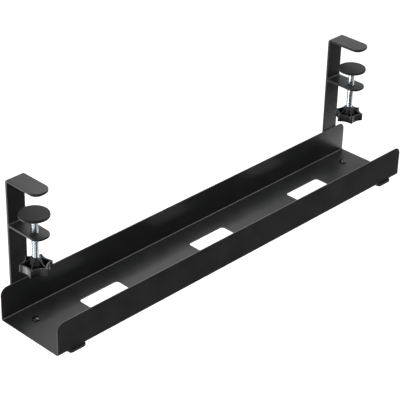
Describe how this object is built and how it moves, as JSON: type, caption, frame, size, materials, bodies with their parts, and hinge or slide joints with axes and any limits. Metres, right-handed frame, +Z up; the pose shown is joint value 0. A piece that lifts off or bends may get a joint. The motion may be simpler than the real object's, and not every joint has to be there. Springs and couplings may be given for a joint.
{
  "type": "under-desk cable rail",
  "caption": "Long folded-sheet cable tray with cut-outs in its floor, hung from two bent brackets with star-knob screw clamps for a desk edge.",
  "frame": {"origin": "middle of the footprint, at the underside of the four rail nuts", "axes": "+X along the rail to its right end, -Y to the front under the desk, where the jaws reach, +Z up to the jaws"},
  "size_m": [0.6, 0.103, 0.184],
  "materials": {
    "powder_coat": "satin powder coat",
    "knob_nylon": "moulded nylon, fine grain",
    "rubber_pad": "matt",
    "zinc_plate": "bright zinc plate",
    "dark_zinc": "black zinc"
  },
  "bodies": {
    "rail": {"tray": "powder_coat", "left_bracket": "powder_coat", "left_clamp_shelf": "powder_coat", "left_weld_nut": "powder_coat", "left_jaw_pad": "rubber_pad", "left_tray_screws": "dark_zinc", "left_tray_nuts": "dark_zinc", "right_bracket": "powder_coat", "right_clamp_shelf": "powder_coat", "right_weld_nut": "powder_coat", "right_jaw_pad": "rubber_pad", "right_tray_screws": "dark_zinc", "right_tray_nuts": "dark_zinc"},
    "left_pad": {"left_pressure_plate": "powder_coat", "left_plate_pad": "rubber_pad"},
    "left_screw": {"left_clamp_screw": "zinc_plate", "left_knob": "knob_nylon"},
    "right_pad": {"right_pressure_plate": "powder_coat", "right_plate_pad": "rubber_pad"},
    "right_screw": {"right_clamp_screw": "zinc_plate", "right_knob": "knob_nylon"}
  },
  "joints": [
    {"name": "left_pad_lift", "type": "slide", "parent": "rail", "child": "left_pad", "axis": [0, 0, 1], "range_m": [-0.0185, 0.025]},
    {"name": "left_screw_spin", "type": "hinge", "parent": "left_pad", "child": "left_screw", "pos_m": [-0.271, 0.0185, 0.11], "axis": [0, 0, 1], "range_deg": [-5328, 7200]},
    {"name": "right_pad_lift", "type": "slide", "parent": "rail", "child": "right_pad", "axis": [0, 0, 1], "range_m": [-0.0185, 0.025]},
    {"name": "right_screw_spin", "type": "hinge", "parent": "right_pad", "child": "right_screw", "pos_m": [0.271, 0.0185, 0.11], "axis": [0, 0, 1], "range_deg": [-5328, 7200]}
  ],
  "couplings": [
    {"joint": "left_screw_spin", "follows": "left_pad_lift", "rad_per_m": 5026.5},
    {"joint": "right_screw_spin", "follows": "right_pad_lift", "rad_per_m": 5026.5}
  ]
}
